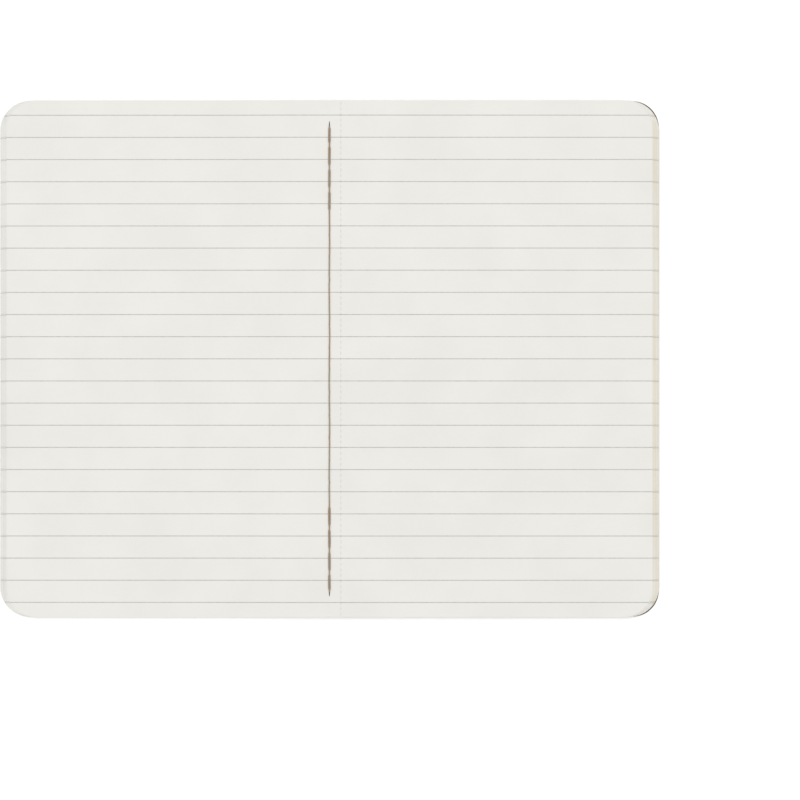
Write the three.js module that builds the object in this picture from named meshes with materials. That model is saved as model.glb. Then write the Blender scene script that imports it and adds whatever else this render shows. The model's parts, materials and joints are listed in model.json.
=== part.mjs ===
// A saddle-stitched pocket notebook with a soft card cover, lying open at its centre spread.
//
// Units are millimetres and +Z is up.  The spread lies along X (the right-hand page is at +X), +Y points to the
// head of the page, and the origin is the middle of the fold on the surface that the covers lie on.
//
// The cover is one folded card and each sheet is one folded paper.  Both are split beside the fold, where they
// hinge: a half on the left, a half on the right, and the narrow fold between them that the stitching holds.

import * as THREE from "three";

// ---- Driving dimensions -------------------------------------------------------------------------------------

const pageHeight = 139.7;
const coverHalfWidth = 89.2;
const cornerRadius = 8;

const coverThickness = 0.32;
const sheetCount = 16;
const leafThickness = 0.09;
const leafGap = 0.025;
const foldGap = 0.018;
const layerGap = 0.02;
const trimStep = 0.128;
const cornerSegments = 6;

const threadWidth = 0.3;
const threadThickness = 0.35;
const spineThreadThickness = 0.3;
const stitchLength = 6.1;
const stitchEndMargin = 5.95;
const holeClearance = 0.04;
const threadClearance = 0.03;
const lockGap = 0.1;

const hingeClearance = 0.1;
const pageToAxis = 0.265;

const pocketPaperThickness = 0.1;
const pocketPanelThickness = 0.14;
const pocketMouthFromFold = 24;
const pocketEdgeMargin = 1.5;
const pocketSeamWidth = 6;

// ---- Heights worked out from them ---------------------------------------------------------------------------

const pocketSeamBase = coverThickness + layerGap;
const pocketPanelBase = pocketSeamBase + pocketPaperThickness + layerGap;
const firstLeafBase = pocketPanelBase + pocketPanelThickness + layerGap;
const leafPitch = leafThickness + leafGap;
const leafStackTop = firstLeafBase + sheetCount * leafPitch - leafGap;

const coverFoldBase = spineThreadThickness + layerGap;
const firstFoldBase = coverFoldBase + coverThickness + layerGap;
const foldPitch = leafThickness + foldGap;
const foldStackTop = firstFoldBase + sheetCount * foldPitch - foldGap;

const axisHeight = Math.max(
  leafStackTop + pageToAxis,
  foldStackTop + threadClearance + threadThickness / 2,
);

const lockHeight = (coverFoldBase + foldStackTop) / 2;

// ---- Stitch spacing and hinge gap worked out from them ------------------------------------------------------

// A whole number of stitches fills the fold between its two end margins.
const stitchRun = pageHeight - 2 * stitchEndMargin;
const stitchCount = Math.round(stitchRun / stitchLength);
const stitchSpacing = stitchRun / stitchCount;
const holeSize = threadWidth + 2 * holeClearance;

// The halves start far enough from the axis to swing round the thread that lies on it.
const hingeHalfGap = Math.hypot(threadWidth, threadThickness) / 2 + hingeClearance;

// ---- Finishes -----------------------------------------------------------------------------------------------

const paper = new THREE.MeshStandardMaterial({ color: 0xecebe5, roughness: 0.85, metalness: 0 });
const kraftCard = new THREE.MeshStandardMaterial({ color: 0xab835f, roughness: 0.9, metalness: 0 });
const pocketPaper = new THREE.MeshStandardMaterial({ color: 0xb08a66, roughness: 0.9, metalness: 0 });
const cottonThread = new THREE.MeshStandardMaterial({ color: 0xa98a6c, roughness: 0.8, metalness: 0 });

const notebook = new THREE.Group();
notebook.name = "pocket_notebook";

function addPiece(name, geometry, material, height = 0) {
  const piece = new THREE.Mesh(geometry, material);
  piece.name = name;
  piece.position.z = height;
  notebook.add(piece);
}

function pieceNumber(index) {
  return String(index + 1).padStart(2, "0");
}

// ---- Flat outlines ------------------------------------------------------------------------------------------

// One half of a cover or sheet.  side is +1 for the right half and -1 for the left.  The two corners away from
// the fold are round, and the two beside it are square.
function halfOutline(side, inner, outer) {
  const top = pageHeight / 2;
  const radius = Math.min(cornerRadius, top, outer - inner);
  const outline = new THREE.Shape();
  outline.moveTo(side * inner, -top);
  outline.lineTo(side * (outer - radius), -top);
  roundCorner(outline, side, outer - radius, -top + radius, radius, -Math.PI / 2);
  roundCorner(outline, side, outer - radius, top - radius, radius, 0);
  outline.lineTo(side * inner, top);
  outline.closePath();
  return outline;
}

// A quarter turn round (x, y), from startAngle, mirrored to the left where side is -1.
function roundCorner(outline, side, x, y, radius, startAngle) {
  for (let step = 0; step <= cornerSegments; step += 1) {
    const angle = startAngle + (step / cornerSegments) * (Math.PI / 2);
    outline.lineTo(side * (x + radius * Math.cos(angle)), y + radius * Math.sin(angle));
  }
}

function rectangle(path, left, bottom, right, top) {
  path.moveTo(left, bottom);
  path.lineTo(right, bottom);
  path.lineTo(right, top);
  path.lineTo(left, top);
  path.closePath();
  return path;
}

// The narrow strip along a fold, pierced once at each end of every stitch.
function foldOutline() {
  const halfWidth = hingeHalfGap - layerGap;
  const top = pageHeight / 2;
  const outline = rectangle(new THREE.Shape(), -halfWidth, -top, halfWidth, top);
  for (let hole = 0; hole <= stitchCount; hole += 1) {
    const y = holeHeight(hole);
    const edge = holeSize / 2;
    outline.holes.push(rectangle(new THREE.Path(), -edge, y - edge, edge, y + edge));
  }
  return outline;
}

// Where a stitch hole lies along Y.
function holeHeight(hole) {
  return -stitchRun / 2 + hole * stitchSpacing;
}

function sheetOf(outline, thickness) {
  return new THREE.ExtrudeGeometry(outline, { depth: thickness, bevelEnabled: false });
}

// ---- Threads ------------------------------------------------------------------------------------------------

// A thread is a straight run along the fold with a leg through each hole, drawn in the YZ plane like a comb and
// given its width along X.  Its legs reach from the run at runNear to lockAt, inside the stack of folds.
function threadGeometry(runNear, runFar, lockAt, width) {
  const end = stitchRun / 2 + threadWidth / 2;
  const outline = new THREE.Shape();
  outline.moveTo(-end, runFar);
  for (let hole = 0; hole <= stitchCount; hole += 1) {
    const y = holeHeight(hole);
    outline.lineTo(y - threadWidth / 2, hole === 0 ? lockAt : runNear);
    if (hole > 0) outline.lineTo(y - threadWidth / 2, lockAt);
    outline.lineTo(y + threadWidth / 2, lockAt);
    if (hole < stitchCount) outline.lineTo(y + threadWidth / 2, runNear);
  }
  outline.lineTo(end, runFar);
  outline.closePath();

  const geometry = new THREE.ExtrudeGeometry(outline, { depth: width, bevelEnabled: false });
  geometry.translate(0, 0, -width / 2);
  const alongY = new THREE.Vector3(0, 1, 0);
  const alongZ = new THREE.Vector3(0, 0, 1);
  const alongX = new THREE.Vector3(1, 0, 0);
  return geometry.applyMatrix4(new THREE.Matrix4().makeBasis(alongY, alongZ, alongX));
}

// ---- Cover --------------------------------------------------------------------------------------------------

const rightCoverOutline = halfOutline(1, hingeHalfGap, coverHalfWidth);
const leftCoverOutline = halfOutline(-1, hingeHalfGap, coverHalfWidth);
addPiece("back_cover", sheetOf(rightCoverOutline, coverThickness), kraftCard);
addPiece("front_cover", sheetOf(leftCoverOutline, coverThickness), kraftCard);
addPiece("cover_fold", sheetOf(foldOutline(), coverThickness), kraftCard, coverFoldBase);

// ---- Pocket inside the back cover ---------------------------------------------------------------------------

// The panel's mouth faces the fold.  The seam is its margin, turned under and glued on the three other sides.
const pocketOuter = coverHalfWidth - pocketEdgeMargin;
const pocketTop = pageHeight / 2 - pocketEdgeMargin;

function pocketOutline(inset) {
  const outer = pocketOuter - inset;
  const top = pocketTop - inset;
  const radius = Math.max(Math.min(cornerRadius - inset, top, outer - pocketMouthFromFold), 0);
  const outline = new THREE.Shape();
  outline.moveTo(pocketMouthFromFold, -top);
  roundCorner(outline, 1, outer - radius, -top + radius, radius, -Math.PI / 2);
  roundCorner(outline, 1, outer - radius, top - radius, radius, 0);
  outline.lineTo(pocketMouthFromFold, top);
  return outline;
}

function pocketSeamOutline() {
  const outside = pocketOutline(0);
  const inside = pocketOutline(pocketSeamWidth).getPoints().reverse();
  inside.forEach((point) => outside.lineTo(point.x, point.y));
  outside.closePath();
  return outside;
}

addPiece("pocket_seam", sheetOf(pocketSeamOutline(), pocketPaperThickness), pocketPaper, pocketSeamBase);
addPiece("pocket_panel", sheetOf(pocketOutline(0), pocketPanelThickness), pocketPaper, pocketPanelBase);

// ---- Sheets -------------------------------------------------------------------------------------------------

// The block is trimmed flush while it is shut, so each sheet further in comes out a little narrower when it is open.
for (let index = 0; index < sheetCount; index += 1) {
  const outer = coverHalfWidth - index * trimStep;
  const leafBase = firstLeafBase + index * leafPitch;
  const foldBase = firstFoldBase + index * foldPitch;
  const number = pieceNumber(index);
  const rightLeaf = sheetOf(halfOutline(1, hingeHalfGap, outer), leafThickness);
  const leftLeaf = sheetOf(halfOutline(-1, hingeHalfGap, outer), leafThickness);
  addPiece(`right_leaf_${number}`, rightLeaf, paper, leafBase);
  addPiece(`left_leaf_${number}`, leftLeaf, paper, leafBase);
  addPiece(`sheet_fold_${number}`, sheetOf(foldOutline(), leafThickness), paper, foldBase);
}

// ---- Stitching ----------------------------------------------------------------------------------------------

const gutterRunNear = axisHeight - threadThickness / 2;
const gutterRunFar = axisHeight + threadThickness / 2;
const gutterThread = threadGeometry(gutterRunNear, gutterRunFar, lockHeight + lockGap / 2, threadWidth);
const spineThread = threadGeometry(spineThreadThickness, 0, lockHeight - lockGap / 2, threadWidth);
addPiece("gutter_thread", gutterThread, cottonThread);
addPiece("spine_thread", spineThread, cottonThread);

export default notebook;
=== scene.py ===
"""A saddle-stitched pocket notebook lying open at its centre spread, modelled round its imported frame.

Everything is in metres in the notebook's own frame: the fold runs along Y at x = 0, the right-hand pages
are at +X, and the covers lie on z = 0.  The cover is one kraft card, each sheet has a right page, a left
page and the fold between them, and two threads lock through the folds.
"""

import json
import math

import bmesh
import bpy
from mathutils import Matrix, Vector


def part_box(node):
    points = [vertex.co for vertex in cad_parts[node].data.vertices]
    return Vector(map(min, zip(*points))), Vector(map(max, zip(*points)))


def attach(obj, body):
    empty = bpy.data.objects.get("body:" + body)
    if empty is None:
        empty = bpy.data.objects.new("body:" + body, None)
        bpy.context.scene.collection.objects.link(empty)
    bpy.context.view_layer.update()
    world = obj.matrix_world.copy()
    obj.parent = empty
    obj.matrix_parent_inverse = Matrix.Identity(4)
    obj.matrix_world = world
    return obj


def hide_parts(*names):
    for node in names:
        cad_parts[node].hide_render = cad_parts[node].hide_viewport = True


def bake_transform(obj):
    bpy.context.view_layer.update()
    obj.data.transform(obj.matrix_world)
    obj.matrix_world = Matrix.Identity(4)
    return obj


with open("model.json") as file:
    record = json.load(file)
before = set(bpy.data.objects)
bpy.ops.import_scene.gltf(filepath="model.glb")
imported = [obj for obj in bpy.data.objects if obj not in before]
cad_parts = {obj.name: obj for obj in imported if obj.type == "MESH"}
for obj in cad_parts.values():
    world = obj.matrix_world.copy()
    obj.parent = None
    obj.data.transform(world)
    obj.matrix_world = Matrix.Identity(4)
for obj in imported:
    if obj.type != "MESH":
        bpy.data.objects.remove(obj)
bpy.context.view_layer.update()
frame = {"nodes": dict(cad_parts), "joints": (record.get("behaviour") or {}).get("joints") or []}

# ---- Sizes taken from the frame ----------------------------------------------------------------------------

MM = 0.001
CUT_PRECISION = 0.001 * MM
TOUCH = 0.01 * MM               # places this near each other count as the same

SMOOTH_BELOW = math.radians(40)
SHARP_ABOVE = math.radians(50)

JOINTS = {joint["name"]: joint for joint in frame["joints"]}
AXIS_Z = JOINTS["cover_hinge"]["pos_m"][2]

COVER_LOW, COVER_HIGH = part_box("back_cover")
HALF_WIDTH = COVER_HIGH[0]
HALF_HEIGHT = COVER_HIGH[1]
CARD = COVER_HIGH[2] - COVER_LOW[2]

SHEETS = sum(1 for name in frame["nodes"] if name.startswith("sheet_fold_"))
NUMBERS = [f"{count + 1:02d}" for count in range(SHEETS)]

GUTTER_LOW, GUTTER_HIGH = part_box("gutter_thread")
POCKET_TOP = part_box("pocket_panel")[1][2]

# ---- Sizes of the fine detail ------------------------------------------------------------------------------

CORNER = 8.0 * MM
CORNER_STEPS = 14

NECK = 1.0 * MM                 # how much of a page bends when it is turned
NECK_CUTS = 18
PAGE_COLUMNS = 12
PAGE_ROWS = 16
ROW_HEIGHT = 2 * HALF_HEIGHT / PAGE_ROWS
LEAF_THICKNESS = 0.095 * MM
LEAF_PITCH = 0.099 * MM         # from leaf to leaf where the block is pressed flat

PERFORATION_X = 3.1 * MM
PERFORATION_WIDTH = 0.04 * MM
PERFORATION_CUT = 0.9 * MM
PERFORATION_TIE = 0.6 * MM

RULE_PITCH = 5.985 * MM
RULE_COUNT = 23
RULE_WIDTH = 0.24 * MM

STITCHES = 21
THREAD_WIDTH = GUTTER_HIGH[0] - GUTTER_LOW[0]
STITCH_LENGTH = (GUTTER_HIGH[1] - GUTTER_LOW[1] - THREAD_WIDTH) / STITCHES
LOCKED_STITCHES = 4             # sewn twice at the head and at the tail
THREAD_RADIUS = 0.19 * MM
SPINE_THREAD_RADIUS = 0.15 * MM  # pulled tight, so it lies half pressed into the card
HOLE_HALF_WIDTH = 0.20 * MM
CARD_HOLE_HALF_WIDTH = 0.08 * MM  # the card closes round the thread
HOLE_HALF_LENGTH = 0.27 * MM
END_HOLE_DRAWN = 0.95 * MM      # how far the thread has pulled the first and the last hole towards the middle

# ---- Modelling helpers -------------------------------------------------------------------------------------


def deselect():
    """Leaves edit mode, with nothing selected."""
    if bpy.context.object and bpy.context.object.mode != "OBJECT":
        bpy.ops.object.mode_set(mode="OBJECT")
    bpy.ops.object.select_all(action="DESELECT")


def pick(piece):
    """Makes piece the only selected object, and the active one."""
    deselect()
    piece.select_set(True)
    bpy.context.view_layer.objects.active = piece


def settle(piece):
    """Puts the object's place, turn and size into its mesh."""
    pick(piece)
    bpy.ops.object.transform_apply(location=True, rotation=True, scale=True)


def apply_modifiers(piece):
    """Puts what a piece's modifiers do into its mesh."""
    pick(piece)
    for modifier in list(piece.modifiers):
        bpy.ops.object.modifier_apply(modifier=modifier.name)


def select_where(piece, test, kind="VERT"):
    """In edit mode, selects exactly the vertices, or the faces by their middle, that pass test."""
    bpy.ops.mesh.select_mode(type=kind)
    bpy.ops.mesh.select_all(action="DESELECT")
    mesh = bmesh.from_edit_mesh(piece.data)
    if kind == "VERT":
        for vert in mesh.verts:
            vert.select = test(vert.co)
    else:
        for face in mesh.faces:
            face.select = test(face.calc_center_median())
    mesh.select_flush_mode()
    bmesh.update_edit_mesh(piece.data)


def cut_selected(axis, place):
    """In edit mode, cuts the selected faces with a plane across axis, 0 for X or 1 for Y."""
    normal = tuple(1.0 if part == axis else 0.0 for part in range(3))
    point = tuple(place if part == axis else 0.0 for part in range(3))
    bpy.ops.mesh.bisect(plane_co=point, plane_no=normal, use_fill=False, threshold=CUT_PRECISION)


def cut_across(axis, places):
    """In edit mode, cuts the whole piece at each place along axis.

    A cut leaves only its own line selected, so everything is selected again before each one.
    """
    for place in places:
        bpy.ops.mesh.select_all(action="SELECT")
        cut_selected(axis, place)


def spread(start, end, count):
    """count places evenly between start and end, both left out."""
    return [start + (end - start) * (step + 1) / (count + 1) for step in range(count)]


def duplicate(piece, name):
    """A copy of piece with its own mesh."""
    pick(piece)
    bpy.ops.object.duplicate(linked=False)
    copy = bpy.context.object
    copy.name = name
    copy.data.name = name
    return copy


def smoothstep(value):
    """0 up to 0, 1 from 1 on, and a smooth rise between them."""
    value = max(0.0, min(1.0, value))
    return value * value * (3 - 2 * value)


def plane_between(name, x_from, x_to):
    """A flat rectangle over the whole page height from x_from to x_to."""
    deselect()
    bpy.ops.mesh.primitive_plane_add(size=1, location=((x_from + x_to) / 2, 0, 0))
    piece = bpy.context.object
    piece.name = name
    piece.data.name = name
    piece.scale = (abs(x_to - x_from), 2 * HALF_HEIGHT, 1)
    settle(piece)
    return piece


def round_corners(piece, radius, test):
    """Rounds the corners of a flat outline that pass test."""
    select_where(piece, test)
    bpy.ops.mesh.bevel(
        offset=radius, offset_type="OFFSET", segments=CORNER_STEPS, profile=0.5, affect="VERTICES"
    )


def shape(piece, rule):
    """Moves every vertex to rule(position)."""
    for vert in piece.data.vertices:
        vert.co = rule(vert.co)
    piece.data.update()


def thicken(piece, thickness):
    """Gives a surface its wall, half above and half below it."""
    wall = piece.modifiers.new("wall", "SOLIDIFY")
    wall.thickness = thickness
    wall.offset = 0.0
    wall.use_even_offset = False
    apply_modifiers(piece)


def smooth(piece):
    """Smooth shading, except over sharp edges."""
    pick(piece)
    bpy.ops.object.shade_smooth_by_angle(angle=SMOOTH_BELOW)


def soften_edges(piece, width, segments):
    """Rounds every sharp edge of a piece."""
    edge = piece.modifiers.new("edge", "BEVEL")
    edge.width = width
    edge.segments = segments
    edge.limit_method = "ANGLE"
    edge.angle_limit = SHARP_ABOVE
    apply_modifiers(piece)


# ---- Shader node helpers -----------------------------------------------------------------------------------


def node(tree, kind, place, **settings):
    """A new shader node at a place in the editor."""
    made = tree.nodes.new(kind)
    made.location = place
    for key, value in settings.items():
        setattr(made, key, value)
    return made


def maths(tree, operation, place, first, second=None, clamp=False):
    """A maths node fed by sockets or plain numbers; gives back its output."""
    made = node(tree, "ShaderNodeMath", place, operation=operation, use_clamp=clamp)
    for socket, value in zip(made.inputs, (first, second)):
        if value is None:
            continue
        if isinstance(value, (int, float)):
            socket.default_value = value
        else:
            tree.links.new(value, socket)
    return made.outputs[0]


def noise(tree, place, vector, scale, detail=3.0):
    """A noise texture read at vector; gives back its value."""
    made = node(tree, "ShaderNodeTexNoise", place)
    made.inputs["Scale"].default_value = scale
    made.inputs["Detail"].default_value = detail
    tree.links.new(vector, made.inputs["Vector"])
    return made.outputs["Fac"]


def stretched(tree, place, vector, scale):
    """vector scaled differently along X, Y and Z."""
    made = node(tree, "ShaderNodeMapping", place)
    made.inputs["Scale"].default_value = scale
    tree.links.new(vector, made.inputs["Vector"])
    return made.outputs[0]


def remap(tree, place, value, low, high, new_low=0.0, new_high=1.0):
    """value stretched smoothly from low..high to new_low..new_high."""
    made = node(tree, "ShaderNodeMapRange", place, interpolation_type="SMOOTHSTEP")
    for name, number in (("From Min", low), ("From Max", high), ("To Min", new_low), ("To Max", new_high)):
        made.inputs[name].default_value = number
    tree.links.new(value, made.inputs["Value"])
    return made.outputs[0]


def mix_colours(tree, place, factor, first, second, blend="MIX"):
    """first blended with second by factor; each may be a socket or a plain value."""
    made = node(tree, "ShaderNodeMix", place, data_type="RGBA", blend_type=blend)
    for socket, value in ((made.inputs[0], factor), (made.inputs[6], first), (made.inputs[7], second)):
        if isinstance(value, (int, float)):
            socket.default_value = value
        elif isinstance(value, tuple):
            socket.default_value = (*value, 1.0)
        else:
            tree.links.new(value, socket)
    return made.outputs[2]


def new_group(name, inputs, outputs):
    """A shader node group with its sockets; gives back the tree and its input and output nodes."""
    tree = bpy.data.node_groups.new(name, "ShaderNodeTree")
    for label, kind, default in inputs:
        socket = tree.interface.new_socket(name=label, in_out="INPUT", socket_type=kind)
        if default is not None:
            socket.default_value = default
    for label, kind in outputs:
        tree.interface.new_socket(name=label, in_out="OUTPUT", socket_type=kind)
    return tree, node(tree, "NodeGroupInput", (-900, 0)), node(tree, "NodeGroupOutput", (900, 0))


def place_group(tree, group, place, **values):
    """A node group in a material; an underscore in a value's name stands for a space in the socket's."""
    made = node(tree, "ShaderNodeGroup", place, node_tree=group)
    for label, value in values.items():
        socket = made.inputs[label.replace("_", " ")]
        if isinstance(value, (int, float, tuple)):
            socket.default_value = value
        else:
            tree.links.new(value, socket)
    return made


# ---- Shared effects: fibres and mottling -------------------------------------------------------------------


def make_fibre_group():
    """Short crossed fibres and soft clouds, as pulp dries into them.

    Fibres is a mask of single strands, Cloud is the slow change of the pulp's density, and Height is both
    together for a bump.
    """
    tree, given, result = new_group(
        "pulp_fibres",
        [
            ("Vector", "NodeSocketVector", None),
            ("Fibre scale", "NodeSocketFloat", 1800.0),
            ("Cloud scale", "NodeSocketFloat", 120.0),
            ("Strands", "NodeSocketFloat", 0.62),
        ],
        [("Fibres", "NodeSocketFloat"), ("Cloud", "NodeSocketFloat"), ("Height", "NodeSocketFloat")],
    )
    strands = []
    for count, (turn, squeeze) in enumerate(((0.5, 0.12), (2.0, 0.16), (1.2, 0.10))):
        mapping = node(tree, "ShaderNodeMapping", (-680, 260 - 260 * count))
        mapping.inputs["Rotation"].default_value = (0, 0, turn)
        mapping.inputs["Scale"].default_value = (squeeze, 1.0, 1.0)
        mapping.inputs["Location"].default_value = (0.013 * count, 0.007 * count, 0)
        tree.links.new(given.outputs["Vector"], mapping.inputs["Vector"])
        texture = node(tree, "ShaderNodeTexNoise", (-480, 260 - 260 * count))
        texture.inputs["Detail"].default_value = 2.0
        tree.links.new(mapping.outputs[0], texture.inputs["Vector"])
        tree.links.new(given.outputs["Fibre scale"], texture.inputs["Scale"])
        strands.append(texture.outputs["Fac"])
    first = maths(tree, "MAXIMUM", (-280, 200), strands[0], strands[1])
    densest = maths(tree, "MAXIMUM", (-120, 120), first, strands[2])
    past = maths(tree, "SUBTRACT", (40, 120), densest, given.outputs["Strands"])
    fibres = maths(tree, "MULTIPLY", (200, 120), past, 6.0, clamp=True)
    clouds = node(tree, "ShaderNodeTexNoise", (-280, -420))
    clouds.inputs["Detail"].default_value = 4.0
    clouds.inputs["Roughness"].default_value = 0.6
    tree.links.new(given.outputs["Vector"], clouds.inputs["Vector"])
    tree.links.new(given.outputs["Cloud scale"], clouds.inputs["Scale"])
    height = maths(tree, "ADD", (400, -60), fibres, densest)
    tree.links.new(fibres, result.inputs["Fibres"])
    tree.links.new(clouds.outputs["Fac"], result.inputs["Cloud"])
    tree.links.new(height, result.inputs["Height"])
    return tree


def make_wear_and_rim_shade_group():
    """Where a folded card wears, along its fold and near its outline, and the outline's very rim, which the
    kraft materials darken as painted shade.

    The outline is a rectangle with round corners, centred on the origin.
    """
    tree, given, result = new_group(
        "rubbed_edges_and_shaded_rim",
        [
            ("Vector", "NodeSocketVector", None),
            ("Half width", "NodeSocketFloat", HALF_WIDTH),
            ("Half height", "NodeSocketFloat", HALF_HEIGHT),
            ("Corner", "NodeSocketFloat", CORNER),
            ("Reach", "NodeSocketFloat", 1.2 * MM),
            ("Rim", "NodeSocketFloat", 0.3 * MM),
        ],
        [("Edge", "NodeSocketFloat"), ("Rim", "NodeSocketFloat"), ("Fold", "NodeSocketFloat")],
    )
    parts = node(tree, "ShaderNodeSeparateXYZ", (-900, 200))
    tree.links.new(given.outputs["Vector"], parts.inputs[0])
    past = []
    squares = []
    for socket, half, level in ((0, "Half width", 300), (1, "Half height", 40)):
        from_middle = maths(tree, "ABSOLUTE", (-740, level), parts.outputs[socket])
        straight = maths(
            tree, "SUBTRACT", (-740, level - 130), given.outputs[half], given.outputs["Corner"]
        )
        past.append(maths(tree, "SUBTRACT", (-580, level), from_middle, straight))
        outer = maths(tree, "MAXIMUM", (-420, level), past[-1], 0.0)
        squares.append(maths(tree, "POWER", (-260, level), outer, 2.0))
    round_part = maths(tree, "SQRT", (60, 200), maths(tree, "ADD", (-100, 200), squares[0], squares[1]))
    flat_part = maths(tree, "MINIMUM", (60, 0), maths(tree, "MAXIMUM", (-100, 0), past[0], past[1]), 0.0)
    signed = maths(tree, "ADD", (220, 100), round_part, flat_part)
    inward = maths(tree, "SUBTRACT", (380, 100), given.outputs["Corner"], signed)
    ragged = noise(tree, (-420, -300), given.outputs["Vector"], 700.0, 4.0)
    for label, reach, level in (("Edge", "Reach", 200), ("Rim", "Rim", 0)):
        width = maths(tree, "MULTIPLY", (380, level - 100), given.outputs[reach], ragged)
        share = maths(tree, "DIVIDE", (540, level), inward, width)
        worn = maths(tree, "SUBTRACT", (700, level), 1.0, share, clamp=True)
        tree.links.new(worn, result.inputs[label])
    from_fold = maths(tree, "ABSOLUTE", (-140, -300), parts.outputs[0])
    fold_share = maths(tree, "DIVIDE", (20, -300), from_fold, given.outputs["Reach"])
    fold = maths(tree, "SUBTRACT", (200, -300), 1.0, fold_share, clamp=True)
    tree.links.new(maths(tree, "MULTIPLY", (380, -300), fold, ragged), result.inputs["Fold"])
    return tree


FIBRES = make_fibre_group()
WEAR_AND_RIM_SHADE = make_wear_and_rim_shade_group()


def start_material(name, roughness, specular=0.3):
    """An empty material with its shader and Object coordinates."""
    material = bpy.data.materials.new(name)
    material.use_nodes = True
    tree = material.node_tree
    tree.nodes.clear()
    output = node(tree, "ShaderNodeOutputMaterial", (1300, 0))
    shader = node(tree, "ShaderNodeBsdfPrincipled", (1000, 0))
    shader.inputs["Roughness"].default_value = roughness
    shader.inputs["Specular IOR Level"].default_value = specular
    tree.links.new(shader.outputs[0], output.inputs["Surface"])
    coordinates = node(tree, "ShaderNodeTexCoord", (-1500, 0))
    return material, tree, shader, coordinates.outputs["Object"]


def add_bump(tree, shader, height, distance, strength):
    """Fine relief from a height mask; distance is how far its full height stands out."""
    bump = node(tree, "ShaderNodeBump", (760, -300))
    bump.inputs["Strength"].default_value = strength
    bump.inputs["Distance"].default_value = distance
    tree.links.new(height, bump.inputs["Height"])
    tree.links.new(bump.outputs[0], shader.inputs["Normal"])


# ---- Ruled writing paper -----------------------------------------------------------------------------------

PAPER_LIGHT = (0.790, 0.780, 0.740)
PAPER_SHADE = (0.765, 0.754, 0.711)
RULE_INK = (0.47, 0.465, 0.44)
# Painted shade for the stepped fore-edges of the lower leaves: a little bluish on the left, darker and
# yellower on the right, away from the key light.
LEFT_EDGE_PAINTED_SHADE = (0.944, 0.948, 0.965)
RIGHT_EDGE_PAINTED_SHADE = (0.955, 0.912, 0.82)
FORE_EDGE_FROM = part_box(f"right_leaf_{NUMBERS[-1]}")[1][0]


def make_page_material(name, shift):
    """Uncoated paper printed with thin grey rules; shift moves the rules a little, as a loose sheet's do."""
    material, tree, shader, place = start_material(name, 0.82, 0.18)
    pulp = place_group(
        tree, FIBRES, (-1000, 300), Vector=place, Fibre_scale=2400.0, Cloud_scale=55.0, Strands=0.66
    )
    cloudy = remap(tree, (-800, 200), pulp.outputs["Cloud"], 0.3, 0.72)
    tone = mix_colours(tree, (-600, 300), cloudy, PAPER_LIGHT, PAPER_SHADE)
    fleck = maths(tree, "MULTIPLY", (-600, 60), pulp.outputs["Fibres"], 0.10)
    paper = mix_colours(tree, (-400, 260), fleck, tone, (0.74, 0.715, 0.64))

    parts = node(tree, "ShaderNodeSeparateXYZ", (-1200, -300))
    tree.links.new(place, parts.inputs[0])
    height = maths(tree, "ADD", (-1020, -320), parts.outputs[1], shift)
    rows = maths(tree, "DIVIDE", (-860, -320), height, RULE_PITCH)
    nearest = maths(tree, "ROUND", (-700, -400), rows)
    offset = maths(tree, "SUBTRACT", (-540, -320), rows, nearest)
    away = maths(tree, "ABSOLUTE", (-380, -320), offset)
    half_rule = RULE_WIDTH / RULE_PITCH / 2
    line = remap(tree, (-220, -320), away, half_rule * 0.75, half_rule * 1.25, 1.0, 0.0)
    last_row = (RULE_COUNT - 1) / 2 + 0.4
    row_size = maths(tree, "ABSOLUTE", (-540, -520), rows)
    inside = maths(tree, "LESS_THAN", (-380, -520), row_size, last_row)
    ruled = maths(tree, "MULTIPLY", (-40, -400), line, inside)
    patchy = remap(tree, (-220, -640), noise(tree, (-420, -700), place, 900.0, 2.0), 0.3, 0.7, 0.78, 1.0)
    ink = maths(tree, "MULTIPLY", (120, -400), ruled, patchy)
    printed = mix_colours(tree, (320, 100), ink, paper, RULE_INK)
    # Painted shade: past the top leaf's fore-edge, where the lower leaves step out, the paper is darkened in
    # lengthwise streaks, more on the right than on the left.
    from_fold = maths(tree, "ABSOLUTE", (-1020, -820), parts.outputs[0])
    fore_edge = remap(tree, (-840, -820), from_fold, FORE_EDGE_FROM, FORE_EDGE_FROM + 0.1 * MM)
    lengthwise = stretched(tree, (-1020, -1040), place, (1.0, 0.01, 1.0))
    streaks = noise(tree, (-840, -1040), lengthwise, 2200.0, 1.0)
    uneven = remap(tree, (-640, -1040), streaks, 0.3, 0.7, 0.2, 1.0)
    edge_shade_mask = maths(tree, "MULTIPLY", (-640, -900), fore_edge, uneven)
    on_right = maths(tree, "GREATER_THAN", (-640, -760), parts.outputs[0], 0.0)
    edge_shade_colour = mix_colours(tree, (320, -100), on_right, LEFT_EDGE_PAINTED_SHADE, RIGHT_EDGE_PAINTED_SHADE)
    finished = mix_colours(tree, (520, 60), edge_shade_mask, printed, edge_shade_colour, "MULTIPLY")
    tree.links.new(finished, shader.inputs["Base Color"])
    add_bump(tree, shader, pulp.outputs["Height"], 0.02 * MM, 0.35)
    return material


RULE_SHIFTS = (0.0, 0.22 * MM, -0.15 * MM, 0.1 * MM)
PAGES = [make_page_material(f"ruled_paper_{count + 1}", shift) for count, shift in enumerate(RULE_SHIFTS)]

# ---- Kraft card and kraft paper ----------------------------------------------------------------------------


KRAFT_SPECK = (0.13, 0.07, 0.035)


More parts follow.
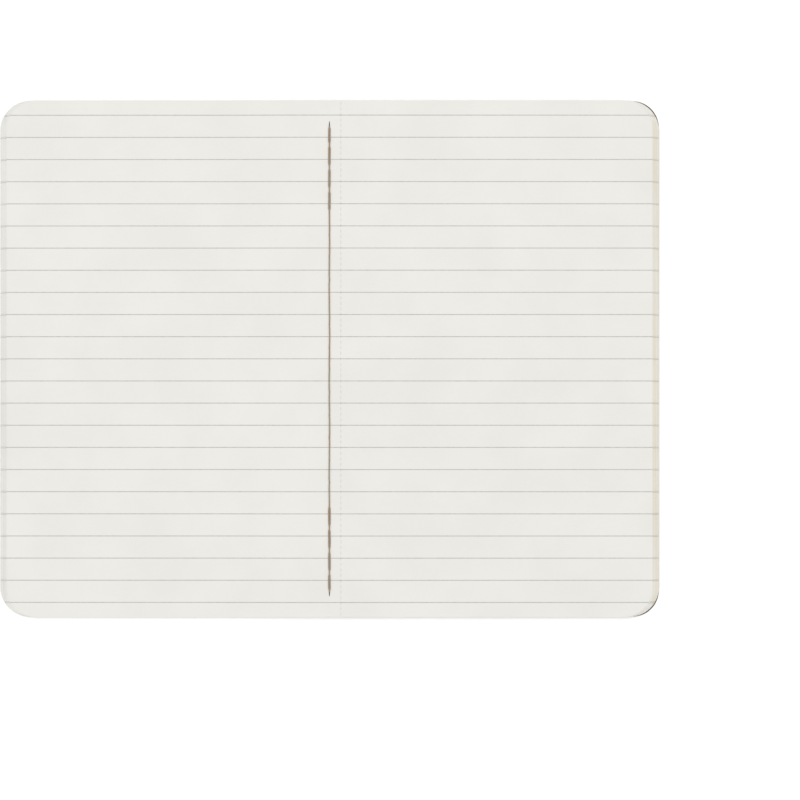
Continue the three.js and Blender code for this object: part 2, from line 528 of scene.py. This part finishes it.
def make_kraft_material(name, light, dark, strand, worn, rim):
    """Brown unbleached card: fibres, dark specks, edges rubbed pale, and its rim darkened as painted shade on
    the cut edge.
    """
    material, tree, shader, place = start_material(name, 0.88, 0.15)
    pulp = place_group(
        tree, FIBRES, (-1000, 300), Vector=place, Fibre_scale=1900.0, Cloud_scale=330.0, Strands=0.60
    )
    cloudy = remap(tree, (-800, 200), pulp.outputs["Cloud"], 0.32, 0.7)
    tone = mix_colours(tree, (-600, 300), cloudy, light, dark)
    strands = maths(tree, "MULTIPLY", (-600, 60), pulp.outputs["Fibres"], 0.45)
    fibred = mix_colours(tree, (-380, 260), strands, tone, strand)
    specks = remap(tree, (-600, -160), noise(tree, (-800, -160), place, 2600.0, 1.0), 0.70, 0.78)
    faint_specks = maths(tree, "MULTIPLY", (-400, -160), specks, 0.5)
    speckled = mix_colours(tree, (-180, 220), faint_specks, fibred, KRAFT_SPECK)
    wear_and_rim_shade = place_group(tree, WEAR_AND_RIM_SHADE, (-1000, -400), Vector=place)
    rubbed = maths(tree, "MAXIMUM", (-600, -420), wear_and_rim_shade.outputs["Edge"], wear_and_rim_shade.outputs["Fold"])
    lightly_rubbed = maths(tree, "MULTIPLY", (-400, -420), rubbed, 0.35)
    paled = mix_colours(tree, (60, 180), lightly_rubbed, speckled, worn)
    # Painted shade: the thin rim along the outline is darkened, standing in for the shade on the cut edge.
    rim_shade_mask = maths(tree, "MULTIPLY", (-200, -560), wear_and_rim_shade.outputs["Rim"], 2.0, clamp=True)
    finished = mix_colours(tree, (260, 180), rim_shade_mask, paled, rim)
    tree.links.new(finished, shader.inputs["Base Color"])
    rough = remap(tree, (300, -100), pulp.outputs["Cloud"], 0.3, 0.7, 0.80, 0.95)
    tree.links.new(rough, shader.inputs["Roughness"])
    add_bump(tree, shader, pulp.outputs["Height"], 0.05 * MM, 0.55)
    return material


KRAFT_CARD = make_kraft_material(
    "kraft_card",
    light=(0.416, 0.231, 0.120),
    dark=(0.384, 0.209, 0.106),
    strand=(0.50, 0.30, 0.165),
    worn=(0.52, 0.34, 0.21),
    # rim: painted shade along the card's cut edge
    rim=(0.115, 0.086, 0.065),
)
KRAFT_PAPER = make_kraft_material(
    "kraft_paper",
    light=(0.455, 0.260, 0.137),
    dark=(0.415, 0.232, 0.118),
    strand=(0.55, 0.35, 0.20),
    worn=(0.58, 0.40, 0.26),
    # rim: painted shade along the paper's cut edges
    rim=(0.30, 0.17, 0.09),
)

# ---- Cotton thread -----------------------------------------------------------------------------------------


THREAD_LIGHT = (0.44, 0.325, 0.225)
THREAD_DARK = (0.29, 0.205, 0.135)
THREAD_RUBBED = (0.34, 0.305, 0.25)


def make_thread_material():
    """Undyed waxed cotton: brown plies that turn grey where they are rubbed."""
    material, tree, shader, place = start_material("cotton_thread", 0.7, 0.25)
    lint = noise(tree, (-900, 200), stretched(tree, (-1100, 200), place, (3.0, 0.8, 3.0)), 4200.0, 3.0)
    tone = mix_colours(tree, (-500, 120), remap(tree, (-700, 200), lint, 0.3, 0.7), THREAD_LIGHT, THREAD_DARK)
    patches = remap(tree, (-700, -60), noise(tree, (-900, -60), place, 60.0, 2.0), 0.38, 0.62)
    rubbed = maths(tree, "MULTIPLY", (-500, -60), patches, 0.7)
    greyed = mix_colours(tree, (-280, 60), rubbed, tone, THREAD_RUBBED)
    tree.links.new(greyed, shader.inputs["Base Color"])
    shader.inputs["Sheen Weight"].default_value = 0.25
    shader.inputs["Sheen Roughness"].default_value = 0.5
    add_bump(tree, shader, lint, 0.02 * MM, 0.5)
    return material


THREAD = make_thread_material()


def dress(piece, material):
    """Gives a piece its one material."""
    piece.data.materials.clear()
    piece.data.materials.append(material)


# ---- Camera, light and floor -------------------------------------------------------------------------------

VIEW_WIDTH = 216.45 * MM
VIEW_MIDDLE = Vector((19.07 * MM, -11.13 * MM, GUTTER_LOW[2]))
VIEW_DISTANCE = 0.62
FLOOR_SIZE = 6.0
FLOOR_GAP = 0.02 * MM
FLOOR_LIGHT = (0.955, 0.955, 0.955)
FLOOR_SHADE = (0.935, 0.935, 0.935)
FLOOR_GLOW = 0.14               # lifts the floor to white without washing out the pages
SKY_STRENGTH = 0.72


def make_camera():
    """Straight above the spread, which lies up and to the left of the middle of the view."""
    data = bpy.data.cameras.new("camera")
    data.sensor_width = 36.0
    data.lens = data.sensor_width * VIEW_DISTANCE / VIEW_WIDTH
    data.clip_start = 0.01
    camera = bpy.data.objects.new("camera", data)
    camera.location = VIEW_MIDDLE + Vector((0, 0, VIEW_DISTANCE))
    bpy.context.scene.collection.objects.link(camera)
    bpy.context.scene.camera = camera


def make_light(name, place, size, power):
    """A round soft light at place, aimed at the middle of the spread."""
    data = bpy.data.lights.new(name, "AREA")
    data.shape = "DISK"
    data.size = size
    data.energy = power
    light = bpy.data.objects.new(name, data)
    light.location = place
    light.rotation_euler = Vector(place).to_track_quat("Z", "Y").to_euler()
    bpy.context.scene.collection.objects.link(light)


def make_floor():
    """The pale table top just below the covers."""
    deselect()
    bpy.ops.mesh.primitive_plane_add(size=FLOOR_SIZE, location=(0, 0, -FLOOR_GAP))
    floor = bpy.context.object
    floor.name = "floor"
    settle(floor)
    material, tree, shader, place = start_material("pale_floor", 0.9, 0.1)
    patches = noise(tree, (0, 0), place, 9.0, 2.0)
    tone = mix_colours(tree, (200, 0), patches, FLOOR_LIGHT, FLOOR_SHADE)
    tree.links.new(tone, shader.inputs["Base Color"])
    shader.inputs["Emission Color"].default_value = (1.0, 1.0, 1.0, 1.0)
    shader.inputs["Emission Strength"].default_value = FLOOR_GLOW
    floor.data.materials.append(material)


def make_studio():
    """Floor, two lamps overhead and an even white sky."""
    make_floor()
    make_light("key", place=(-0.25, 0.30, 1.10), size=0.6, power=3.9)
    make_light("fill", place=(0.50, -0.35, 1.20), size=0.9, power=2.3)
    world = bpy.data.worlds.new("studio")
    world.use_nodes = True
    sky = world.node_tree.nodes["Background"]
    sky.inputs["Color"].default_value = (1.0, 1.0, 1.0, 1.0)
    sky.inputs["Strength"].default_value = SKY_STRENGTH
    bpy.context.scene.world = world
    bpy.context.scene.view_settings.view_transform = "Standard"


make_camera()
make_studio()

# ---- Where each layer bends --------------------------------------------------------------------------------


HALF_FOLD_AT_AXIS = 0.3 * MM
FOLD_SPREAD = 0.5               # how much half a fold widens with its depth below the axis


def half_fold(depth):
    """Half the width of the fold of a layer that lies depth below the turning axis."""
    return HALF_FOLD_AT_AXIS + FOLD_SPREAD * depth


def page_middle(number):
    """The level of a leaf's middle."""
    low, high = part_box(f"right_leaf_{number}")
    return (low[2] + high[2]) / 2


def fold_middle(number):
    """The level of the middle of a sheet's fold."""
    low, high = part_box(f"sheet_fold_{number}")
    return (low[2] + high[2]) / 2


# ---- Pages -------------------------------------------------------------------------------------------------

PAGE_ARCH = 0.12 * MM           # how far each page rises between its fold and its fore-edge
PRESSED_FROM = 4.0 * MM         # the leaves close up between here and PRESSED_BY
PRESSED_BY = 34.0 * MM
COLUMNS_FROM = 5.0 * MM


def page_outer(name):
    """How far from the fold a leaf's fore-edge lies."""
    low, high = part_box(name)
    return max(abs(low[0]), abs(high[0]))


def page_material(count):
    """The innermost sheet has its rules in their true place, and the others are a little off, in turn."""
    return PAGES[0 if count == SHEETS - 1 else 1 + count % (len(PAGES) - 1)]


def page_rise(x):
    """The shared curve of all the pages, away from the fold."""
    reach = abs(x) / HALF_WIDTH
    return PAGE_ARCH * math.sin(math.pi * min(1.0, reach)) ** 2


def pressed_drop(x, level, count, bed):
    """How far leaf number count has settled from its level at the fold, onto what lies below it."""
    pressed_level = bed + (count + 0.5) * LEAF_PITCH
    return (level - pressed_level) * smoothstep((abs(x) - PRESSED_FROM) / (PRESSED_BY - PRESSED_FROM))


def model_page(name, side, inner, outer):
    """A flat half sheet with its two round corners at the fore-edge, cut fine where it bends."""
    piece = plane_between(name, side * inner, side * outer)
    pick(piece)
    bpy.ops.object.mode_set(mode="EDIT")
    round_corners(piece, CORNER, lambda place: abs(place.x) > (inner + outer) / 2)
    cut_across(0, [side * x for x in spread(inner, inner + NECK, NECK_CUTS)])
    cut_across(0, [side * (inner + NECK)])
    cut_across(0, [side * x for x in spread(COLUMNS_FROM, outer, PAGE_COLUMNS)])
    cut_across(1, spread(-HALF_HEIGHT, HALF_HEIGHT, PAGE_ROWS))
    bpy.ops.object.mode_set(mode="OBJECT")
    return piece


def perforate(piece):
    """Cuts a row of short slits from head to tail, so the page can be torn out."""
    near = PERFORATION_X - PERFORATION_WIDTH / 2
    far = PERFORATION_X + PERFORATION_WIDTH / 2
    step = PERFORATION_CUT + PERFORATION_TIE
    count = int(2 * HALF_HEIGHT / step)
    first = -count * step / 2 + PERFORATION_TIE / 2

    pick(piece)
    bpy.ops.object.mode_set(mode="EDIT")
    cut_across(0, [near, far])
    for slit in range(count):
        for end in (first + slit * step, first + slit * step + PERFORATION_CUT):
            select_where(
                piece, lambda place: near < place.x < far and abs(place.y - end) < ROW_HEIGHT, "FACE"
            )
            cut_selected(1, end)

    def in_slit(place):
        in_row = near < place.x < far and abs(place.y) < HALF_HEIGHT - PERFORATION_TIE
        return in_row and (place.y - first) % step < PERFORATION_CUT

    select_where(piece, in_slit, "FACE")
    bpy.ops.mesh.delete(type="FACE")
    bpy.ops.object.mode_set(mode="OBJECT")


def trim_fore_edge(piece, side, amount, outer):
    """Brings a copy's fore-edge, with its round corners, in towards the fold."""
    pick(piece)
    bpy.ops.object.mode_set(mode="EDIT")
    select_where(piece, lambda place: abs(place.x) > outer - CORNER - TOUCH)
    bpy.ops.transform.translate(value=(-side * amount, 0, 0))
    bpy.ops.object.mode_set(mode="OBJECT")


def move_inner_edge(piece, side, inner, new_inner):
    """Moves the neck of a copy so that it starts where this sheet's own fold ends."""
    pick(piece)
    bpy.ops.object.mode_set(mode="EDIT")
    select_where(piece, lambda place: abs(place.x) < inner + NECK + TOUCH)
    bpy.ops.transform.translate(value=(side * (new_inner - inner), 0, 0))
    bpy.ops.object.mode_set(mode="OBJECT")


def finish_page(page, count, bed, name):
    """Sets one page at its level and gives it its thickness and finish."""
    level = page_middle(NUMBERS[count])

    def settle_page(place):
        rise = page_rise(place.x) - pressed_drop(place.x, level, count, bed)
        return Vector((place.x, place.y, level + rise))

    shape(page, settle_page)
    thicken(page, LEAF_THICKNESS)
    smooth(page)
    dress(page, page_material(count))
    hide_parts(name)
    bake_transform(page)


def make_pages(side, word, bed):
    """All the pages on one side, from the outermost sheet to the innermost, as copies of one model page."""
    inner = half_fold(AXIS_Z - page_middle("01"))
    outer = page_outer(f"{word}_leaf_01")
    model = model_page("page_model", side, inner, outer)
    if side > 0:
        perforate(model)
    for count, number in enumerate(NUMBERS):
        name = f"{word}_leaf_{number}"
        own_inner = half_fold(AXIS_Z - page_middle(number))
        page = duplicate(model, f"{word}_page_{number}")
        trim_fore_edge(page, side, outer - page_outer(name), outer)
        move_inner_edge(page, side, inner, own_inner)
        finish_page(page, count, bed, name)
    bpy.data.objects.remove(model)


make_pages(1, "right", POCKET_TOP)
make_pages(-1, "left", CARD)

# ---- Folds of the sheets -----------------------------------------------------------------------------------

FOLD_COLUMNS = 14
POINTED = 0.4                   # how much of its width a torn hole keeps at its tip


def stitch_hole(index):
    """Where along the fold a needle hole was made."""
    return (index - STITCHES / 2) * STITCH_LENGTH


def drawn(index):
    """How far the thread has pulled a hole from its place along the fold: only the two outermost ones."""
    if index == 0:
        return END_HOLE_DRAWN
    return -END_HOLE_DRAWN if index == STITCHES else 0.0


def hole_span(index, torn):
    """From where to where along the fold a needle hole reaches; a torn one starts where it was made."""
    middle = stitch_hole(index)
    ends = (middle, middle + drawn(index)) if torn else (middle + drawn(index),) * 2
    return min(ends) - HOLE_HALF_LENGTH, max(ends) + HOLE_HALF_LENGTH


def pierce(piece, half_width, torn):
    """Cuts a needle hole at both ends of every stitch; torn ones run out to a point at the head and tail."""
    holes = [hole_span(index, torn) for index in range(STITCHES + 1)]
    pick(piece)
    bpy.ops.object.mode_set(mode="EDIT")
    cut_across(0, [-half_width, half_width])
    for low, high in holes:
        for end in (low, high):
            select_where(
                piece, lambda place: abs(place.x) < half_width and abs(place.y - end) < ROW_HEIGHT, "FACE"
            )
            cut_selected(1, end)
    select_where(
        piece,
        lambda place: abs(place.x) < half_width and any(low < place.y < high for low, high in holes),
        "FACE",
    )
    bpy.ops.mesh.delete(type="FACE")
    if torn:
        tip = holes[-1][1]
        for end in (-tip, tip):
            select_where(
                piece, lambda place: abs(place.x) < half_width + TOUCH and abs(place.y - end) < TOUCH
            )
            bpy.ops.transform.resize(value=(POINTED, 1, 1), center_override=(0, end, 0))
    bpy.ops.object.mode_set(mode="OBJECT")


def model_fold(name, half):
    """The strip of a sheet between its two pages."""
    piece = plane_between(name, -half, half)
    pick(piece)
    bpy.ops.object.mode_set(mode="EDIT")
    cut_across(0, spread(-half, half, FOLD_COLUMNS - 1))
    cut_across(1, spread(-HALF_HEIGHT, HALF_HEIGHT, PAGE_ROWS))
    bpy.ops.object.mode_set(mode="OBJECT")
    pierce(piece, HOLE_HALF_WIDTH, torn=True)
    return piece


def make_folds():
    """The fold of every sheet, dipping from its two pages to the stitches."""
    for count, number in enumerate(NUMBERS):
        name = f"sheet_fold_{number}"
        page_level = page_middle(number)
        half = half_fold(AXIS_Z - page_level)
        dip = fold_middle(number) - page_level
        fold = model_fold(f"folded_back_{number}", half)

        def settle_fold(place):
            middle = 1 - smoothstep(abs(place.x) / half)
            return Vector((place.x, place.y, page_level + dip * middle + page_rise(place.x)))

        shape(fold, settle_fold)
        thicken(fold, LEAF_THICKNESS)
        smooth(fold)
        dress(fold, page_material(count))
        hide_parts(name)
        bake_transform(fold)


make_folds()

# ---- Cover card --------------------------------------------------------------------------------------------

COVER_FOLD = 1.7 * MM
COVER_COLUMNS = 20
BACK_CORNER_SHOWS = 0.9 * MM    # the back cover's corners are this much less round than the leaves on it
HUMP_FLAT = 0.25 * MM           # the fold is lifted in full this far from its middle
HUMP_SLOPE = 0.9 * MM
CARD_SOFTNESS = 0.06 * MM


def make_cover():
    """One card from fore-edge to fore-edge, lifted along its fold where the thread passes under it."""
    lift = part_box("cover_fold")[0][2]
    card = plane_between("cover_card", -HALF_WIDTH, HALF_WIDTH)
    pick(card)
    bpy.ops.object.mode_set(mode="EDIT")
    round_corners(card, CORNER, lambda place: place.x < 0)
    round_corners(card, CORNER - BACK_CORNER_SHOWS, lambda place: place.x > HALF_WIDTH - MM)
    cut_across(0, spread(-COVER_FOLD, COVER_FOLD, COVER_COLUMNS - 1))
    cut_across(0, [-COVER_FOLD, COVER_FOLD])
    cut_across(0, spread(COVER_FOLD, HALF_WIDTH, PAGE_COLUMNS))
    cut_across(0, spread(-HALF_WIDTH, -COVER_FOLD, PAGE_COLUMNS))
    cut_across(1, spread(-HALF_HEIGHT, HALF_HEIGHT, PAGE_ROWS))
    bpy.ops.object.mode_set(mode="OBJECT")
    pierce(card, CARD_HOLE_HALF_WIDTH, torn=False)

    def settle_card(place):
        hump = 1 - smoothstep((abs(place.x) - HUMP_FLAT) / HUMP_SLOPE)
        return Vector((place.x, place.y, CARD / 2 + lift * hump))

    shape(card, settle_card)
    thicken(card, CARD)
    soften_edges(card, CARD_SOFTNESS, 2)
    smooth(card)
    dress(card, KRAFT_CARD)
    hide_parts("back_cover", "cover_fold", "front_cover")
    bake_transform(card)


make_cover()

# ---- Pocket inside the back cover --------------------------------------------------------------------------

POCKET_LOW, POCKET_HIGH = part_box("pocket_panel")
MARGIN_WIDTH = 6.0 * MM
POCKET_CORNER = 8.0 * MM
POCKET_SOFTNESS = 0.35          # of the paper's thickness


def pocket_outline(name, x_from):
    """A flat sheet from x_from to the pocket's outer side, with that side's two corners round."""
    piece = plane_between(name, x_from, POCKET_HIGH[0])
    shape(piece, lambda place: Vector((place.x, place.y * POCKET_HIGH[1] / HALF_HEIGHT, 0)))
    pick(piece)
    bpy.ops.object.mode_set(mode="EDIT")
    round_corners(piece, POCKET_CORNER, lambda place: place.x > POCKET_HIGH[0] - MM)
    bpy.ops.object.mode_set(mode="OBJECT")
    return piece


def finish_pocket(piece, node_name):
    """Gives one layer of the pocket its thickness and soft edges, at its CAD node's level."""
    low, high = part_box(node_name)
    thickness = high[2] - low[2]
    shape(piece, lambda place: Vector((place.x, place.y, (low[2] + high[2]) / 2)))
    thicken(piece, thickness)
    soften_edges(piece, thickness * POCKET_SOFTNESS, 3)
    smooth(piece)
    dress(piece, KRAFT_PAPER)
    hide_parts(node_name)
    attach(piece, "root")


def make_pocket():
    """A paper panel over a margin that is turned under it and glued down on three sides."""
    finish_pocket(pocket_outline("pocket_front", POCKET_LOW[0]), "pocket_panel")

    margin = pocket_outline("pocket_margin", POCKET_LOW[0] - MARGIN_WIDTH)
    pick(margin)
    bpy.ops.object.mode_set(mode="EDIT")
    bpy.ops.mesh.select_mode(type="FACE")
    bpy.ops.mesh.select_all(action="SELECT")
    bpy.ops.mesh.inset(thickness=MARGIN_WIDTH, depth=0)
    bpy.ops.mesh.delete(type="FACE")
    bpy.ops.mesh.select_all(action="SELECT")
    bpy.ops.mesh.bisect(
        plane_co=(POCKET_LOW[0], 0, 0), plane_no=(1, 0, 0), use_fill=False, clear_inner=True,
        threshold=CUT_PRECISION,
    )
    bpy.ops.object.mode_set(mode="OBJECT")
    finish_pocket(margin, "pocket_seam")


make_pocket()

# ---- Threads -----------------------------------------------------------------------------------------------

PLIES = 3
PLY_RADIUS = 0.56               # of the thread's radius, as the next one is
PLY_ORBIT = 0.44
PLY_ROUNDNESS = 1
TWIST = 1.05 * MM

LEG_GAP = 0.09 * MM             # each of the two legs in a needle hole lies this far from its middle
BEND = 0.13 * MM                # how tightly the thread turns down into a hole
RUN_STEPS = 48
LEG_STEPS = 7
BEND_STEPS = 4
FREED_BY = 1 / 6                # the share of a run over which it leaves the line of its holes
SWAY = 0.06 * MM
SWAY_PERIOD = 4.1 * MM
SIDE_BY_SIDE = 0.88             # of the thread's radius, from the fold's middle
LOOSENESS = 0.10


def ply_curve(name, line, radius, phase):
    """One ply, wound round a line that lies in planes along the fold."""
    data = bpy.data.curves.new(name, "CURVE")
    data.dimensions = "3D"
    data.bevel_depth = PLY_RADIUS * radius
    data.bevel_resolution = PLY_ROUNDNESS
    data.use_fill_caps = True
    spline = data.splines.new("POLY")
    spline.points.add(len(line) - 1)
    across = Vector((1, 0, 0))
    run = 0.0
    for count, place in enumerate(line):
        before = line[max(count - 1, 0)]
        after = line[min(count + 1, len(line) - 1)]
        outward = (after - before).cross(across).normalized()
        run += (place - before).length
        turn = 2 * math.pi * run / TWIST + phase
        wound = place + PLY_ORBIT * radius * (math.cos(turn) * across + math.sin(turn) * outward)
        spline.points[count].co = (*wound, 1.0)
    piece = bpy.data.objects.new(name, data)
    bpy.context.scene.collection.objects.link(piece)
    return piece


def twist_thread(name, radius, lines):
    """Every line wound from its plies, as one mesh."""
    parts = []
    for line_count, line in enumerate(lines):
        for ply in range(PLIES):
            parts.append(ply_curve(f"{name}_ply", line, radius, 2 * math.pi * ply / PLIES + line_count))
    deselect()
    for part in parts:
        part.select_set(True)
    bpy.context.view_layer.objects.active = parts[0]
    bpy.ops.object.convert(target="MESH")
    bpy.ops.object.join()
    thread = bpy.context.object
    thread.name = name
    thread.data.name = name
    settle(thread)
    bpy.ops.object.shade_smooth()
    return thread


def leg_places(index):
    """Where along the fold the thread goes down into a hole and where it comes back up."""
    middle = stitch_hole(index) + drawn(index)
    return middle - LEG_GAP, middle + LEG_GAP


def sewn_line(first_hole, last_hole, run_level, lock_level, beside):
    """The path of a thread from hole to hole: along the fold at run_level, through each hole to lock_level.

    beside(y) gives how far to the side of the fold's middle the run lies at y.
    """
    out = 1 if run_level > lock_level else -1
    points = []
    for hole in range(first_hole, last_hole):
        start = leg_places(hole)[1]
        end = leg_places(hole + 1)[0]
        leg_top = run_level - out * BEND
        for step in range(LEG_STEPS):
            points.append(Vector((0, start, lock_level + (leg_top - lock_level) * step / LEG_STEPS)))
        run_start = start + BEND
        run_end = end - BEND
        for step in range(BEND_STEPS):
            angle = math.pi / 2 * step / BEND_STEPS
            up = out * BEND * math.sin(angle)
            points.append(Vector((0, run_start - BEND * math.cos(angle), leg_top + up)))
        for step in range(RUN_STEPS + 1):
            share = step / RUN_STEPS
            y = run_start + (run_end - run_start) * share
            free = smoothstep(min(share, 1 - share) / FREED_BY)
            points.append(Vector((beside(y) * free, y, run_level)))
        for step in range(BEND_STEPS - 1, -1, -1):
            angle = math.pi / 2 * step / BEND_STEPS
            up = out * BEND * math.sin(angle)
            points.append(Vector((0, run_end + BEND * math.cos(angle), leg_top + up)))
        for step in range(LEG_STEPS - 1, -1, -1):
            points.append(Vector((0, end, lock_level + (leg_top - lock_level) * step / LEG_STEPS)))
    return points


def single_run(y):
    """A thread by itself wanders a little."""
    return SWAY * math.sin(y / SWAY_PERIOD)


def doubled_run(hand):
    """Two threads that share their holes lie side by side between them; hand is -1 or 1."""

    def beside(y):
        return hand * THREAD_RADIUS * (SIDE_BY_SIDE + LOOSENESS * math.sin(y / MM + hand))

    return beside


def run_beside(y):
    """The first thread lies alone in the middle, and beside the second one at the two locked ends."""
    locked_from = stitch_hole(STITCHES - LOCKED_STITCHES)
    return doubled_run(-1)(y) if abs(y) > locked_from else single_run(y)


def make_threads():
    """The needle thread inside the fold, sewn twice at both ends, and the bobbin thread along the spine."""
    gutter_level = fold_middle(NUMBERS[-1]) + LEAF_THICKNESS / 2 + THREAD_RADIUS
    spine_level = SPINE_THREAD_RADIUS
    lock_level = (gutter_level + spine_level) / 2
    gutter = twist_thread(
        "gutter_stitches",
        THREAD_RADIUS,
        [
            sewn_line(0, STITCHES, gutter_level, lock_level, run_beside),
            sewn_line(0, LOCKED_STITCHES, gutter_level, lock_level, doubled_run(1)),
            sewn_line(STITCHES - LOCKED_STITCHES, STITCHES, gutter_level, lock_level, doubled_run(1)),
        ],
    )
    dress(gutter, THREAD)
    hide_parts("gutter_thread")
    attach(gutter, "root")

    spine_line = sewn_line(0, STITCHES, spine_level, lock_level, single_run)
    spine = twist_thread("spine_stitches", SPINE_THREAD_RADIUS, [spine_line])
    dress(spine, THREAD)
    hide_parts("spine_thread")
    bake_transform(spine)


make_threads()
